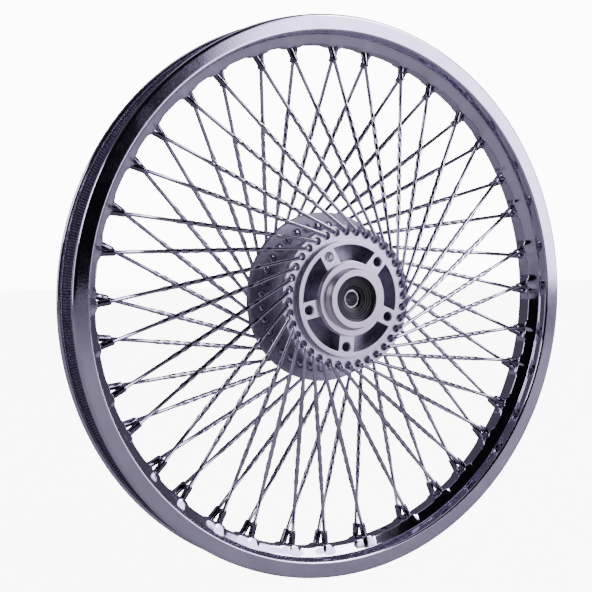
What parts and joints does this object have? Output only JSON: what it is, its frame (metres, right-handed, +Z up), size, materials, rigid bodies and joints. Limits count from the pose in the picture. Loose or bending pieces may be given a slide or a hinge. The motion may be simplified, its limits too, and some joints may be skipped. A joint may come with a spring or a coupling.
{
  "type": "spoked motorcycle wheel",
  "caption": "Chromed motorcycle wheel with crossed twisted spokes, an alloy hub with a disc flange on one side and a brake drum on the other.",
  "frame": {"origin": "on the spin axis, in the middle plane of the rim", "axes": "+Y along the spin axis from the disc side to the drum side, +Z up, +X to the right as seen from the disc side"},
  "size_m": [0.458, 0.0745, 0.458],
  "materials": {
    "rim_chrome": "polished",
    "spoke_chrome": "polished",
    "nipple_chrome": "polished",
    "hub_alloy": "satin",
    "drum_iron": "turned",
    "bearing_steel": "ground",
    "shield_rubber": "matte",
    "seal_rubber": "matte"
  },
  "bodies": {
    "axle_core": {"disc_bearing_inner_ring": "bearing_steel", "drum_bearing_inner_ring": "bearing_steel", "distance_tube": "bearing_steel"},
    "wheel": {"rim": "rim_chrome", "hub": "hub_alloy", "brake_drum_liner": "drum_iron", "disc_side_spokes": "spoke_chrome", "drum_side_spokes": "spoke_chrome", "disc_side_nipples": "nipple_chrome", "drum_side_nipples": "nipple_chrome", "disc_bearing_outer_ring": "bearing_steel", "disc_bearing_shields": "shield_rubber", "drum_bearing_outer_ring": "bearing_steel", "drum_bearing_shields": "shield_rubber", "oil_seal": "seal_rubber", "oil_seal_spring": "bearing_steel"},
    "disc_side_ball_set": {"disc_bearing_balls": "bearing_steel", "disc_bearing_cage": "bearing_steel"},
    "drum_side_ball_set": {"drum_bearing_balls": "bearing_steel", "drum_bearing_cage": "bearing_steel"}
  },
  "joints": [
    {"name": "wheel_spin", "type": "hinge", "parent": "axle_core", "child": "wheel", "pos_m": [0, 0, 0], "axis": [0, 1, 0], "continuous": true},
    {"name": "disc_side_ball_orbit", "type": "hinge", "parent": "axle_core", "child": "disc_side_ball_set", "pos_m": [0, -0.0272, 0], "axis": [0, 1, 0], "continuous": true},
    {"name": "drum_side_ball_orbit", "type": "hinge", "parent": "axle_core", "child": "drum_side_ball_set", "pos_m": [0, 0.0082, 0], "axis": [0, 1, 0], "continuous": true}
  ],
  "couplings": [
    {"joint": "disc_side_ball_orbit", "follows": "wheel_spin", "ratio": 0.662},
    {"joint": "drum_side_ball_orbit", "follows": "wheel_spin", "ratio": 0.662}
  ]
}
